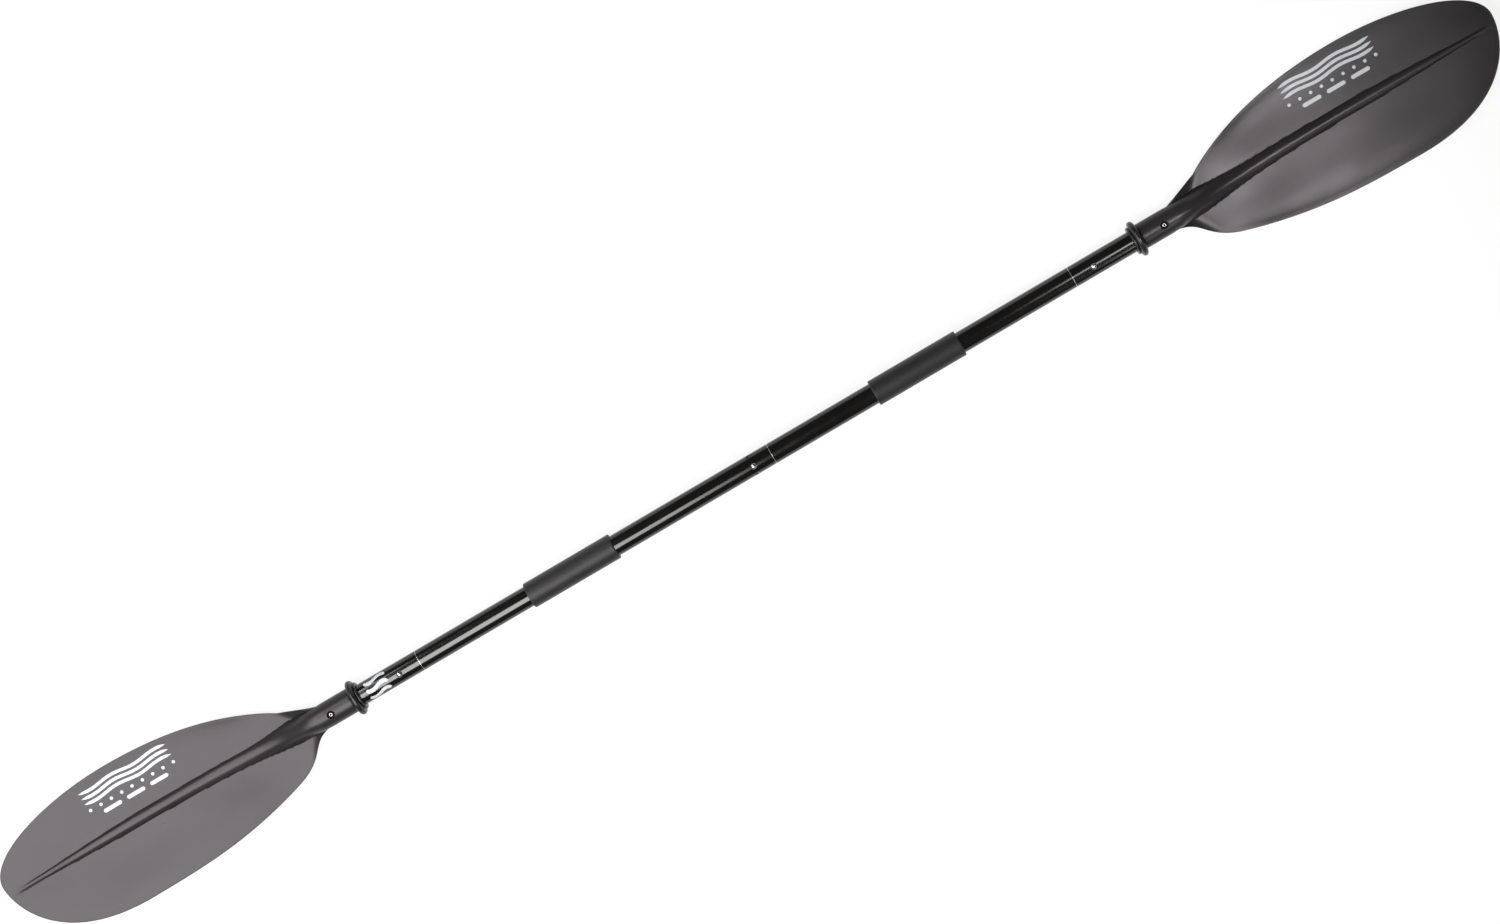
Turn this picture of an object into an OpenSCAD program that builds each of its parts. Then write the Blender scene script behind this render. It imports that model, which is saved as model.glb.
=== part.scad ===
// Four-section kayak paddle. X runs along the shaft with the right blade at +X,
// Y across the blades, and +Z is the side of the power faces. The paddle lies on
// its blades' backs, with the origin on the floor under the middle of the shaft.

/* [Paddle] */
// Length from blade tip to blade tip
paddle_length = 2200; // [2100:10:2300]
// Outer diameter of the shaft tubes
tube_d = 28; // [27:0.1:29]
// Wall thickness of the shaft tubes
tube_wall = 1.3; // [1:0.1:1.6]
// Half length of the two centre sections, from the paddle's middle to an outer seam
centre_half = 481.5; // [460:0.5:500]
// Distance of the centre seam from the paddle's middle
centre_seam = 40.4; // [30:0.1:60]
// Gap left at each seam between two tube ends
seam_gap = 0.5; // [0.1:0.1:1]

/* [Blade] */
// Length of a blade from its throat to its tip
blade_length = 472; // [450:1:490]
// Width of a blade at its widest
blade_width = 181.4; // [165:0.1:195]
// Outer diameter of the collar that holds the tube
collar_d = 34; // [33:0.5:36]
// Length of the collar
collar_length = 46; // [40:1:60]
// Depth of the tube socket, from the collar's open end
socket_depth = 58; // [50:1:62]
// Skin thickness along the middle of the blade
skin_middle = 3.4; // [2.5:0.1:5]
// Skin thickness at the rim of the blade
skin_rim = 2.2; // [1.5:0.1:3]

/* [Joints] */
// Reach of each ferrule past its seam into the next tube
ferrule_reach = 70; // [50:1:80]
// Length of each ferrule held inside its own tube
ferrule_hold = 60; // [40:1:80]
// Wall thickness of the ferrules
ferrule_wall = 1.2; // [1:0.1:1.5]
// Radial clearance between a ferrule and the tube that slides over it
ferrule_clearance = 0.05; // [0.02:0.01:0.1]
// Distance from an outer seam to its snap button
outer_button_offset = 29.4; // [20:0.1:40]
// Distance from the centre seam to its snap button
centre_button_offset = 26.3; // [20:0.1:40]
// Angle between the holes for the square and the feathered blade settings
feather_angle = 65; // [45:1:75]

/* [Snap buttons] */
// Diameter of a snap button
button_d = 7.4; // [6:0.1:8]
// Height of a snap button above the tube
button_height = 3.6; // [2.5:0.1:4]
// Diameter of the holes that the buttons snap into
button_hole_d = 8; // [7.9:0.1:9]

/* [Grips] */
// Distance from the paddle's middle to the inner end of a grip
grip_start = 191.5; // [180:0.5:220]
// Length of a grip
grip_length = 126.5; // [100:0.5:140]
// Outer diameter of a grip
grip_d = 34.6; // [32:0.1:38]

/* [Drip rings] */
// Outer diameter of a drip ring's flange
ring_d = 48.5; // [44:0.5:50]
// Outer diameter of a drip ring's hub
ring_hub_d = 38; // [34:0.5:40]
// Length of a drip ring along the shaft
ring_length = 13; // [12:0.5:18]

/* [Hidden] */
$fn = 64;

LEFT = -1;
RIGHT = 1;
tube_r = tube_d / 2;
bore_r = tube_r - tube_wall;
slide_r = bore_r - ferrule_clearance;
ferrule_bore_r = slide_r - ferrule_wall;
collar_r = collar_d / 2;
throat_x = paddle_length / 2 - blade_length;
collar_x = throat_x - collar_length;
tube_end_x = collar_x + socket_depth;

// Rivet in the collar
rivet_x = collar_x + 31;
rivet_r = 2;
rivet_head_r = 2.9;
rivet_head_h = 1.2;
rivet_core_r = 1.1;
rivet_bulb_r = 2.9;
rivet_bulb_h = 3;
rivet_bulb_gap = 0.5;
recess_r = 5.2;
recess_depth = 1.8;
recess_z = collar_r - recess_depth;

// Snap button, measured up from the shaft's axis
button_r = button_d / 2;
button_top = tube_r + button_height;
button_dome_r = 4.6;
base_r = 4.4;
base_h = 0.9;
base_clearance = 0.05;
base_top = sqrt(pow(ferrule_bore_r, 2) - pow(base_r, 2)) - base_clearance;
button_guide_clearance = 0.05;

// Leaf spring under the button
leaf_w = 7;
leaf_t = 0.6;
leaf_run = 34;
leaf_tail = 4;
leaf_clearance = 0.1;
leaf_foot = sqrt(pow(ferrule_bore_r, 2) - pow(leaf_w / 2, 2)) - leaf_clearance;

// Foam plugs that keep water out
plug_length = 22;
plug_gap = 8;
ferrule_plug_length = 14;
ferrule_plug_inset = 3;

grip_chamfer = 1.2;
ferrule_lead = 1.5;
ring_clearance = 0.05;
ring_flange_t = 8.2;
ring_edge = 1;

// How far a cutter runs past a face, and how far joined solids of one piece overlap
past = 1;
merge = 0.5;

// ---- blade shape ----
// Every line of the blade is a chain of cubic Bezier spans. A point is
// [distance from the throat towards the tip, height], and a chain runs steadily
// towards the tip.
edge_shift = 3.5;
top_w = blade_width / 2 - edge_shift;
bottom_w = blade_width / 2 + edge_shift;
neck_r = collar_r - 0.4;
tip_y = 17;
top_edge = [
    [0, neck_r], [24, 25], [38, 29.3], [50, 33.3],
    [62, 40.5], [132, top_w], [281, top_w],
    [blade_length - 98, top_w], [blade_length, 59.4], [blade_length, tip_y]
];
bottom_edge = [
    [0, -neck_r], [33.5, -24.7], [25.3, -48.2], [74.8, -63.4],
    [171, -93], [235, -bottom_w], [315, -bottom_w],
    [blade_length - 25, -bottom_w], [blade_length, -15.8], [blade_length, tip_y]
];
face_line = [
    [0, 0], [4, 0], [13, -4.5], [21, -8.5],
    [29, -12.5], [33, -13.2], [42, -13.2],
    [85, -13.2], [150, -22.5], [235, -22.5],
    [330, -22.5], [blade_length - 52, -15.5], [blade_length, -6]
];
ridge_line = [
    [0, neck_r], [14, neck_r], [30, 10], [50, 2],
    [75, -8], [130, -13.6], [250, -14.8],
    [330, -15.2], [blade_length - 72, -12], [blade_length, -6.5]
];
ridge_width = [
    [0, neck_r], [14, neck_r], [22, 17.6], [40, 17],
    [58, 16.2], [80, 12], [116, 10.7],
    [140, 9.8], [190, 9], [290, 8.6],
    [350, 7.2], [blade_length - 62, 3.6], [blade_length, 2.4]
];
ridge_middle = [
    [0, 0], [60, 0], [90, 1], [145, 3],
    [180, 3.9], [230, 4.2], [300, 4.2],
    [360, 4.2], [blade_length - 52, 4.2], [blade_length, 4.2]
];
back_ridge_line = [
    [0, -neck_r], [40, -neck_r], [80, -19], [122, -23],
    [180, -28.5], [260, -25], [blade_length, 0]
];
rim_lift = 1.6;
middle_lift = 1.6;
first_skin = 0.4;
tip_flat = 0.3;
stations = 36;
front_steps = 18;
back_steps = 12;

// Spans of a Bezier chain
function bezier(p, i, t) = pow(1 - t, 3) * p[i] + 3 * pow(1 - t, 2) * t * p[i + 1]
    + 3 * (1 - t) * t * t * p[i + 2] + pow(t, 3) * p[i + 3];

// The parameter where a span reaches distance x, found by halving
function span_at(p, i, x, lo = 0, hi = 1, n = 22) = let (mid = (lo + hi) / 2)
    n == 0 ? mid
    : bezier(p, i, mid).x < x ? span_at(p, i, x, mid, hi, n - 1)
    : span_at(p, i, x, lo, mid, n - 1);

function line_at(p, x, i = 0) = i + 3 < len(p) - 1 && x > p[i + 3].x
    ? line_at(p, x, i + 3)
    : bezier(p, i, span_at(p, i, x)).y;

function mix(a, b, k) = a + (b - a) * k;
function ramp(x, a, b) = let (u = min(1, max(0, (x - a) / (b - a)))) u * u * (3 - 2 * u);
function bump(q, sharp) = pow(max(0, 1 - q * q), sharp);

// A rib runs across the blade at distance x. Along it, v is -1 at the bottom
// edge and 1 at the top edge.
function rib_top(x) = line_at(top_edge, min(x, blade_length - tip_flat));
function rib_bottom(x) = line_at(bottom_edge, min(x, blade_length - tip_flat));
function rib_v(x, y) = let (a = rib_top(x), b = rib_bottom(x)) (2 * y - a - b) / (a - b);

// The shoulders fall away from the neck to a fold that lies further from the throat
// towards the edges: how fast it shifts with y, where the shift is zero, its limit
fold_above = [0.8, 10, 26];
fold_below = [-0.57, -28, 18];
function fold_shift(fold, y) = min(fold[0] * (y - fold[1]), fold[2]);
function fold_lag(x, y) = ramp(x, 0, 16) * (1 - ramp(x, 60, 150))
    * mix(fold_shift(fold_below, y), fold_shift(fold_above, y), ramp(y, -12, 12));

// Middle of the skin: dished along the blade, with a low crown between two hollows
hollow_v2 = 1 / (1 + sqrt(rim_lift / middle_lift));
function dish(x, y) = line_at(face_line, max(0, x - fold_lag(x, y)))
    + ramp(x, 20, 120) * (1 - ramp(x, blade_length - 130, blade_length))
    * middle_lift * pow(pow(rib_v(x, y), 2) / hollow_v2 - 1, 2);
function skin(x, y) = mix(
    first_skin, mix(skin_middle, skin_rim, pow(rib_v(x, y), 2)), ramp(x, 0, 30)
);

// The ridge starts as the collar's round and sinks into the skin further on
function ridge_shape(x, y) = bump(
    (y - line_at(ridge_middle, x)) / line_at(ridge_width, x),
    0.5 + 0.4 * ramp(x, 14, 45) - 0.3 * ramp(x, 80, 150)
);
function front_z(x, y) = let (
    d = dish(x, y),
    rise = max(0, line_at(ridge_line, x) - d)
) d + skin(x, y) / 2 + rise * ridge_shape(x, y);
function back_z(x, y) = let (
    d = dish(x, y),
    drop = max(0, d - line_at(back_ridge_line, x))
) min(d - skin(x, y) / 2, d - first_skin / 2 - drop * ridge_shape(x, y));

// The place of step u, from -1 to 1, across a rib: close together over the ridge
function across(x, u) = let (
    middle = (rib_top(x) + rib_bottom(x)) / 2,
    c = mix(line_at(ridge_middle, x), middle, ramp(x, blade_length - 60, blade_length - 15)),
    spread = mix(sin(90 * u), 0.35 * u + 0.65 * pow(u, 3), ramp(x, 0, 80))
) c + spread * (spread > 0 ? rib_top(x) - c : c - rib_bottom(x));

// Ribs stand closer together at the throat and at the tip
function station(i) = let (s = i / stations) blade_length * (s - 0.75 * sin(360 * s) / (2 * PI));
function rib(x) = concat(
    [for (j = [0 : front_steps]) let (y = across(x, 2 * j / front_steps - 1)) [y, front_z(x, y)]],
    [for (j = [back_steps : -1 : 0]) let (y = across(x, 2 * j / back_steps - 1)) [y, back_z(x, y)]]
);
ribs = [for (i = [0 : stations]) rib(station(i))];
blade_points = [for (i = [0 : stations], p = ribs[i]) [throat_x + station(i), p.x, p.y]];
ring_n = len(ribs[0]);
blade_faces = concat(
    [[for (j = [ring_n - 1 : -1 : 0]) j]],
    [for (i = [0 : stations - 1], j = [0 : ring_n - 1]) let (
        a = i * ring_n + j,
        b = i * ring_n + (j + 1) % ring_n
    ) each [[a, b, a + ring_n], [b, b + ring_n, a + ring_n]]],
    [[for (j = [0 : ring_n - 1]) stations * ring_n + j]]
);

// The backs of the blades touch the floor at z = 0
axis_z = -min([for (p = blade_points) p.z]);

// ---- helpers ----
// A piece of the given side, drawn as on the right, along an axis at the shaft's height
module on_side(side) {
    translate([0, 0, axis_z]) {
        if (side == LEFT) mirror([1, 0, 0]) children();
        else children();
    }
}

module rod(x0, x1, r) {
    translate([x0, 0, 0]) rotate([0, 90, 0]) cylinder(r = r, h = x1 - x0);
}

module pipe(x0, x1, outer, inner) {
    difference() {
        rod(x0, x1, outer);
        rod(x0 - past, x1 + past, inner);
    }
}

// A hole through one wall at x, turned from the top about the shaft's axis
module side_hole(x, r, turn = 0) {
    translate([x, 0, 0]) rotate([turn, 0, 0]) cylinder(r = r, h = 2 * tube_r);
}

// Points [distance from the axis, place along it] turned about the shaft's axis
module turned(points) {
    rotate([0, 90, 0]) rotate_extrude() polygon(points);
}

// ---- blade sections ----
module blade(side) {
    color([0.36, 0.35, 0.37])
    on_side(side) difference() {
        union() {
            rod(collar_x, throat_x + merge, collar_r);
            polyhedron(points = blade_points, faces = blade_faces, convexity = 6);
        }
        rod(collar_x - past, tube_end_x, tube_r);
        side_hole(rivet_x, rivet_r);
        translate([rivet_x, 0, recess_z]) cylinder(r = recess_r, h = collar_r);
    }
}

// Blind rivet through the collar and the tube, with the hole that its pin leaves
module blade_rivet(side) {
    bulb_top = bore_r - rivet_bulb_gap;
    color("silver")
    on_side(side) translate([rivet_x, 0, 0]) difference() {
        union() {
            translate([0, 0, recess_z]) cylinder(r1 = rivet_head_r, r2 = rivet_r, h = rivet_head_h);
            translate([0, 0, bulb_top - merge]) cylinder(r = rivet_r, h = recess_z - bulb_top + merge);
            translate([0, 0, bulb_top - rivet_bulb_h]) cylinder(r = rivet_bulb_r, h = rivet_bulb_h);
        }
        cylinder(r = rivet_core_r, h = 2 * collar_r);
    }
}

module blade_tube(side) {
    color([0.07, 0.065, 0.06])
    on_side(side) difference() {
        pipe(centre_half + seam_gap / 2, tube_end_x, tube_r, bore_r);
        side_hole(centre_half + outer_button_offset, button_hole_d / 2);
        side_hole(rivet_x, rivet_r);
    }
}

module blade_tube_plug(side) {
    start = centre_half + ferrule_reach + plug_gap;
    color("dimgray") on_side(side) rod(start, start + plug_length, bore_r);
}

// Rubber ring: a hub that grips the tube and a flange with a full round rim
module drip_ring(side) {
    inner = tube_r + ring_clearance;
    rim_r = ring_flange_t / 2;
    rim_at = ring_d / 2 - rim_r;
    hub = ring_hub_d / 2;
    flange = ring_length - ring_flange_t - ring_edge;
    color([0.13, 0.13, 0.14])
    on_side(side) translate([collar_x - ring_length, 0, 0]) turned(concat(
        [[inner, 0], [hub - ring_edge, 0], [hub, ring_edge], [hub, flange], [rim_at, flange]],
        [for (a = [-75 : 15 : 75])
            [rim_at + rim_r * cos(a), flange + rim_r + rim_r * sin(a)]],
        [[rim_at, ring_length - ring_edge], [hub, ring_length], [inner, ring_length]]
    ));
}

// ---- centre sections ----
// The left centre tube carries the socket of the centre joint: one button hole
// for blades in one plane and one at each feather angle
module left_shaft_tube() {
    hole_x = centre_seam - centre_button_offset;
    color([0.07, 0.065, 0.06])
    translate([0, 0, axis_z]) difference() {
        pipe(-centre_half + seam_gap / 2, centre_seam - seam_gap / 2, tube_r, bore_r);
        for (turn = [-feather_angle, 0, feather_angle])
            side_hole(hole_x, button_hole_d / 2, turn);
    }
}

module right_shaft_tube() {
    color([0.07, 0.065, 0.06]) translate([0, 0, axis_z])
        pipe(centre_seam + seam_gap / 2, centre_half - seam_gap / 2, tube_r, bore_r);
}

module left_shaft_plug() {
    end = centre_seam - ferrule_reach - plug_gap;
    color("dimgray") translate([0, 0, axis_z]) rod(end - plug_length, end, bore_r);
}

module grip(side) {
    end = grip_start + grip_length;
    r = grip_d / 2;
    color([0.27, 0.27, 0.28]) on_side(side) turned([
        [tube_r, grip_start], [r - grip_chamfer, grip_start], [r, grip_start + grip_chamfer],
        [r, end - grip_chamfer], [r - grip_chamfer, end], [tube_r, end]
    ]);
}

// ---- ferrule joints ----
// A joint is drawn with its seam at x = 0 and its ferrule reaching to +X
module ferrule(button_x) {
    color([0.75, 0.76, 0.78]) difference() {
        turned([
            [ferrule_bore_r, -ferrule_hold], [bore_r, -ferrule_hold],
            [bore_r, -seam_gap / 2], [slide_r, -seam_gap / 2],
            [slide_r, ferrule_reach - ferrule_lead], [slide_r - ferrule_lead / 2, ferrule_reach],
            [ferrule_bore_r, ferrule_reach]
        ]);
        side_hole(button_x, button_r + button_guide_clearance);
    }
}

module ferrule_plug() {
    start = ferrule_plug_inset - ferrule_hold;
    color("dimgray") rod(start, start + ferrule_plug_length, ferrule_bore_r);
}

// Folded leaf: one arm lifts the button and the other stands on the ferrule's wall
module snap_spring(button_x) {
    top = base_top - base_h;
    color("lightsteelblue") translate([button_x, leaf_w / 2, 0]) rotate([90, 0, 0])
    linear_extrude(leaf_w) polygon([
        [leaf_tail, top], [-leaf_run, leaf_t], [-leaf_run - leaf_t, 0], [-leaf_run, -leaf_t],
        [leaf_tail, -leaf_foot], [leaf_tail, leaf_t - leaf_foot],
        [-leaf_run + 2 * leaf_t, 0], [leaf_tail, top - leaf_t]
    ]);
}

module snap_button(button_x) {
    color("gainsboro") translate([button_x, 0, 0]) {
        intersection() {
            translate([0, 0, base_top - base_h / 2])
                cylinder(r = button_r, h = button_top - base_top + base_h);
            translate([0, 0, button_top - button_dome_r])
                union() {
                    sphere(r = button_dome_r);
                    translate([0, 0, -button_top]) cylinder(r = button_r, h = button_top);
                }
        }
        translate([0, 0, base_top - base_h]) cylinder(r = base_r, h = base_h);
    }
}

module at_outer_joint(side) {
    on_side(side) translate([centre_half, 0, 0]) children();
}

module at_centre_joint() {
    translate([centre_seam, 0, axis_z]) mirror([1, 0, 0]) children();
}

blade(LEFT);  // left_blade
blade_rivet(LEFT);  // left_blade_rivet
blade_tube(LEFT);  // left_blade_tube
blade_tube_plug(LEFT);  // left_blade_tube_plug
drip_ring(LEFT);  // left_drip_ring
left_shaft_tube();
left_shaft_plug();
grip(LEFT);  // left_grip
at_outer_joint(LEFT) ferrule(outer_button_offset);  // left_ferrule
at_outer_joint(LEFT) ferrule_plug();  // left_ferrule_plug
at_outer_joint(LEFT) snap_spring(outer_button_offset);  // left_snap_spring
at_outer_joint(LEFT) snap_button(outer_button_offset);  // left_snap_button
at_centre_joint() ferrule(centre_button_offset);  // centre_ferrule
at_centre_joint() ferrule_plug();  // centre_ferrule_plug
at_centre_joint() snap_spring(centre_button_offset);  // centre_snap_spring
at_centre_joint() snap_button(centre_button_offset);  // centre_snap_button
blade(RIGHT);  // right_blade
blade_rivet(RIGHT);  // right_blade_rivet
blade_tube(RIGHT);  // right_blade_tube
blade_tube_plug(RIGHT);  // right_blade_tube_plug
drip_ring(RIGHT);  // right_drip_ring
right_shaft_tube();
grip(RIGHT);  // right_grip
at_outer_joint(RIGHT) ferrule(outer_button_offset);  // right_ferrule
at_outer_joint(RIGHT) ferrule_plug();  // right_ferrule_plug
at_outer_joint(RIGHT) snap_spring(outer_button_offset);  // right_snap_spring
at_outer_joint(RIGHT) snap_button(outer_button_offset);  // right_snap_button
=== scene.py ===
"""Looks of the four-section kayak paddle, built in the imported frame.

Sizes in the shape functions are millimetres in the paddle's own layout: x from the middle of
the shaft towards a blade, y across the blades, z up from the shaft's axis. place() turns them
into the frame's metres and mirrors them for the left side.
"""

import math

import bmesh
import bpy
import numpy as np
from mathutils import Matrix, Vector

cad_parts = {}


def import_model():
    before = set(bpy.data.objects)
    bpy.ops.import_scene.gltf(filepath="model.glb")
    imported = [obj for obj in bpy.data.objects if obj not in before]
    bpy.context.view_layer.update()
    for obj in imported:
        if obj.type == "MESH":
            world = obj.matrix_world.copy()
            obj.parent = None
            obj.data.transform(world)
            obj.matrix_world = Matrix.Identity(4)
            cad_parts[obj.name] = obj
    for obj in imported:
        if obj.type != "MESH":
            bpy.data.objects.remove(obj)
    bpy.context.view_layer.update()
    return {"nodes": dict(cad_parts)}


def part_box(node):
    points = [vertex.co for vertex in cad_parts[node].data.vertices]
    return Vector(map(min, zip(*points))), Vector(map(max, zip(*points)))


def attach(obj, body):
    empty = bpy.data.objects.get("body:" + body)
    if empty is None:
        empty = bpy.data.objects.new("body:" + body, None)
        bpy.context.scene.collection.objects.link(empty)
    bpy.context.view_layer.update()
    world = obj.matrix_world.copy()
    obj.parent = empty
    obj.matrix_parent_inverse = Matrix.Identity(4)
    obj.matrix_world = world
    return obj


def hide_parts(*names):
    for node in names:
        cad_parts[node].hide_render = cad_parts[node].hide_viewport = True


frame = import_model()

# ---- driving sizes, taken from the frame ----
MM = 0.001
LEFT, RIGHT = -1, 1
SIDES = {"left": LEFT, "right": RIGHT}


def extent(node, axis):
    """Lowest and highest place of a CAD node along an axis, in millimetres."""
    low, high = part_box(node)
    return low[axis] / MM, high[axis] / MM


def middle(node, axis):
    """Middle of a CAD node along an axis, in millimetres."""
    return sum(extent(node, axis)) / 2


def radius(node):
    """Outer radius of a round CAD node about the shaft's axis, in millimetres."""
    low, high = extent(node, 2)
    return (high - low) / 2


AXIS_Z = middle("right_shaft_tube", 2)
TUBE_R = radius("right_shaft_tube")
BORE_R = radius("right_blade_tube_plug")
COLLAR_X, TIP_X = extent("right_blade", 0)
BLADE_TUBE_END = extent("right_blade_tube", 0)[1]
CENTRE_SEAM, OUTER_SEAM = extent("right_shaft_tube", 0)
GRIP_X0, GRIP_X1 = extent("right_grip", 0)
GRIP_R = radius("right_grip")
RING_X0, RING_X1 = extent("right_drip_ring", 0)
RING_R = radius("right_drip_ring")
RIVET_X = middle("right_blade_rivet", 0)
OUTER_BUTTON_X = middle("right_snap_button", 0)
CENTRE_BUTTON_X = middle("centre_snap_button", 0)
BUTTON_TOP = extent("right_snap_button", 2)[1] - AXIS_Z
RIVET_TOP = extent("right_blade_rivet", 2)[1] - AXIS_Z

# ---- sizes that only the looks need ----
COLLAR_R = 17
COLLAR_LENGTH = 46
NECK_R = COLLAR_R - 0.4
THROAT_X = COLLAR_X + COLLAR_LENGTH
BLADE_LENGTH = TIP_X - THROAT_X
TOP_W = 87.2
BOTTOM_W = 94.2
TIP_Y = 17
RECESS_R = 5.2
RECESS_DEPTH = 1.8
RECESS_FLOOR = COLLAR_R - RECESS_DEPTH
GAP = 0.02  # air between two surfaces that touch in the CAD
ON_AXIS = 0.001  # radius of a turned profile's end, closed into one point
SHARP_ANGLE = 35  # degrees between two faces, above which their edge stays sharp

# ---- blade form: chains of cubic Bezier spans, [distance from the throat, height] ----
TOP_EDGE = [
    (0, NECK_R), (24, 25), (38, 29.3), (50, 33.3),
    (62, 40.5), (132, TOP_W), (281, TOP_W),
    (BLADE_LENGTH - 98, TOP_W), (BLADE_LENGTH, 59.4), (BLADE_LENGTH, TIP_Y),
]
BOTTOM_EDGE = [
    (0, -NECK_R), (33.5, -24.7), (25.3, -48.2), (74.8, -63.4),
    (171, -93), (235, -BOTTOM_W), (315, -BOTTOM_W),
    (BLADE_LENGTH - 25, -BOTTOM_W), (BLADE_LENGTH, -15.8), (BLADE_LENGTH, TIP_Y),
]
FACE_LINE = [
    (0, 0), (4, 0), (13, -4.5), (21, -8.5),
    (29, -12.5), (33, -13.2), (42, -13.2),
    (85, -13.2), (150, -22.5), (235, -22.5),
    (330, -22.5), (BLADE_LENGTH - 52, -15.5), (BLADE_LENGTH, -6),
]
RIDGE_LINE = [
    (0, NECK_R), (14, NECK_R), (30, 10), (50, 2),
    (75, -8), (130, -13.6), (250, -14.8),
    (330, -15.2), (BLADE_LENGTH - 72, -12), (BLADE_LENGTH, -6.5),
]
RIDGE_WIDTH = [
    (0, NECK_R), (14, NECK_R), (22, 17.6), (40, 17),
    (58, 16.2), (80, 12), (116, 10.7),
    (140, 9.8), (190, 9), (290, 8.6),
    (350, 7.2), (BLADE_LENGTH - 62, 3.6), (BLADE_LENGTH, 2.4),
]
RIDGE_MIDDLE = [
    (0, 0), (60, 0), (90, 1), (145, 3),
    (180, 3.9), (230, 4.2), (300, 4.2),
    (360, 4.2), (BLADE_LENGTH - 52, 4.2), (BLADE_LENGTH, 4.2),
]
BACK_RIDGE_LINE = [
    (0, -NECK_R), (40, -NECK_R), (80, -19), (122, -23),
    (180, -28.5), (260, -25), (BLADE_LENGTH, 0),
]
RIM_LIFT = 1.6
MIDDLE_LIFT = 1.6
FIRST_SKIN = 0.4
SKIN_MIDDLE = 3.4
SKIN_RIM = 2.2
HOLLOW_V2 = 1 / (1 + math.sqrt(RIM_LIFT / MIDDLE_LIFT))

# The fold across the shoulders lags behind its rib: slope, start and limit of the lag.
FOLD_ABOVE = (0.8, 10, 26)
FOLD_BELOW = (-0.57, -28, 18)


def bezier(p, t):
    """Points of one cubic span at parameters t."""
    t = np.asarray(t, float)[..., None]
    u = 1 - t
    return u**3 * p[0] + 3 * u * u * t * p[1] + 3 * u * t * t * p[2] + t**3 * p[3]


def line_at(chain, x):
    """Height of a chain at distances x."""
    chain = np.array(chain, float)
    x = np.atleast_1d(np.asarray(x, float))
    out = np.empty_like(x)
    for i in range(0, len(chain) - 1, 3):
        last = i + 4 == len(chain)
        here = (x >= chain[i, 0]) & ((x <= chain[i + 3, 0]) if last else (x < chain[i + 3, 0]))
        lo, hi = np.zeros(here.sum()), np.ones(here.sum())
        for _ in range(26):
            mid = (lo + hi) / 2
            below = bezier(chain[i : i + 4], mid)[..., 0] < x[here]
            lo, hi = np.where(below, mid, lo), np.where(below, hi, mid)
        out[here] = bezier(chain[i : i + 4], (lo + hi) / 2)[..., 1]
    return out


def ramp(x, a, b):
    """Smooth rise from 0 at a to 1 at b."""
    u = np.clip((np.asarray(x, float) - a) / (b - a), 0, 1)
    return u * u * (3 - 2 * u)


def mix(a, b, k):
    """Value k of the way from a to b."""
    return a + (b - a) * k


class Ribs:
    """The blade's lines at distances x, and its form over a y for each x."""

    def __init__(self, x):
        self.x = np.atleast_1d(np.asarray(x, float))
        inside = np.clip(self.x, 0, BLADE_LENGTH - 0.02)
        self.top, self.bottom = line_at(TOP_EDGE, inside), line_at(BOTTOM_EDGE, inside)
        self.ridge_y = line_at(RIDGE_MIDDLE, inside)
        self.width = line_at(RIDGE_WIDTH, inside)
        self.ridge, self.back_ridge = line_at(RIDGE_LINE, inside), line_at(BACK_RIDGE_LINE, inside)
        self.sharp = 0.5 + 0.4 * ramp(self.x, 14, 45) - 0.3 * ramp(self.x, 80, 150)

    def v(self, y):
        """Place across the blade, from -1 at the bottom edge to 1 at the top edge."""
        return np.clip((2 * y - self.top - self.bottom) / (self.top - self.bottom), -1, 1)

    def dish(self, y):
        """Middle of the skin. The fold across the shoulders lies further out towards the
        edges, and nearer the throat below than above."""
        v = self.v(y)
        above, below = (
            np.minimum(slope * (y - start), limit) for slope, start, limit in (FOLD_ABOVE, FOLD_BELOW)
        )
        lag = mix(below, above, ramp(y, -12, 12))
        lag = lag * ramp(self.x, 0, 16) * (1 - ramp(self.x, 60, 150))
        face = line_at(FACE_LINE, np.clip(self.x - lag, 0, BLADE_LENGTH - 0.02))
        crown = ramp(self.x, 20, 120) * (1 - ramp(self.x, BLADE_LENGTH - 130, BLADE_LENGTH))
        return face + crown * MIDDLE_LIFT * (v * v / HOLLOW_V2 - 1) ** 2


# ---- mesh helpers ----
def place(points, side):
    """Millimetres in the paddle's layout to metres in the frame."""
    p = np.array(points, float).reshape(-1, 3)
    return np.column_stack([p[:, 0] * side, p[:, 1], p[:, 2] + AXIS_Z]) * MM


def new_piece(name, points, faces, side, body, material, sharp=SHARP_ANGLE):
    """A mesh object from millimetre points, facing outward, riding on its body."""
    mesh = bpy.data.meshes.new(name)
    mesh.from_pydata(place(points, side).tolist(), [], [list(f) for f in faces])
    bm = bmesh.new()
    bm.from_mesh(mesh)
    bmesh.ops.remove_doubles(bm, verts=bm.verts, dist=1e-6)
    bmesh.ops.dissolve_degenerate(bm, edges=bm.edges, dist=1e-7)
    bmesh.ops.recalc_face_normals(bm, faces=bm.faces)
    bm.to_mesh(mesh)
    bm.free()
    piece = bpy.data.objects.new(name, mesh)
    bpy.context.scene.collection.objects.link(piece)
    mesh.materials.append(material)
    smooth(piece, sharp)
    if body:
        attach(piece, body)
    return piece


def smooth(piece, sharp=SHARP_ANGLE):
    """Smooth shading, with the edges over the sharp angle kept."""
    piece.data.shade_smooth()
    piece.data.set_sharp_from_angle(angle=math.radians(sharp))


def stitch(rows, closed_rows=False, closed=False):
    """Quads between rows of equally many points, as (points, faces)."""
    n, m = len(rows), len(rows[0])
    points = [p for row in rows for p in row]
    faces = []
    for i in range(n if closed_rows else n - 1):
        for j in range(m if closed else m - 1):
            a, b = i * m, ((i + 1) % n) * m
            k = (j + 1) % m
            faces.append((a + j, a + k, b + k, b + j))
    return points, faces


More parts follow.
